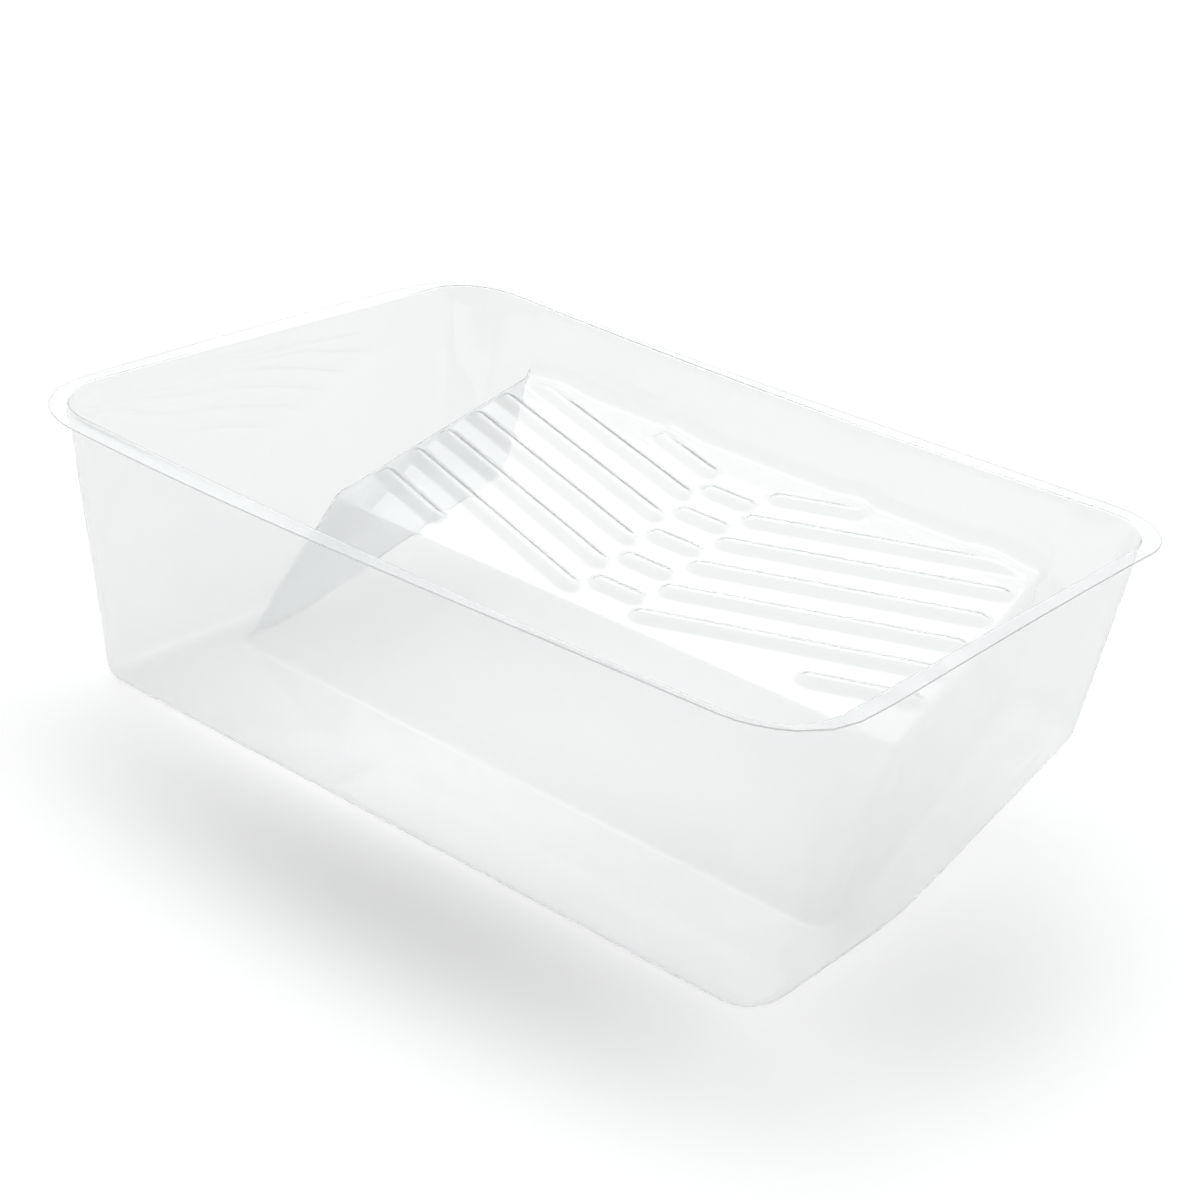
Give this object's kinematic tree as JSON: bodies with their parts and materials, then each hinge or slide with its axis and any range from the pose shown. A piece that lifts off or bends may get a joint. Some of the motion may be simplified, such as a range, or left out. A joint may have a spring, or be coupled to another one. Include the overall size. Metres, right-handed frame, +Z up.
{
  "type": "paint roller tray",
  "caption": "Clear one-piece deep-well tray for a paint roller, with tapered walls, a rim flange and a sloping ramp with swept ribs beside narrow gutters.",
  "frame": {"origin": "middle of the outline in plan, on the underside of the flat well floor", "axes": "+X along the long sides, as the roller's axle lies, +Y from the deep well to the shallow end of the ramp, +Z up out of the open top"},
  "size_m": [0.419, 0.306, 0.14],
  "materials": {
    "clear_sheet": "clear, faintly cloudy formed sheet with a smooth gloss"
  },
  "bodies": {
    "root": {"tray": "clear_sheet"}
  },
  "joints": []
}
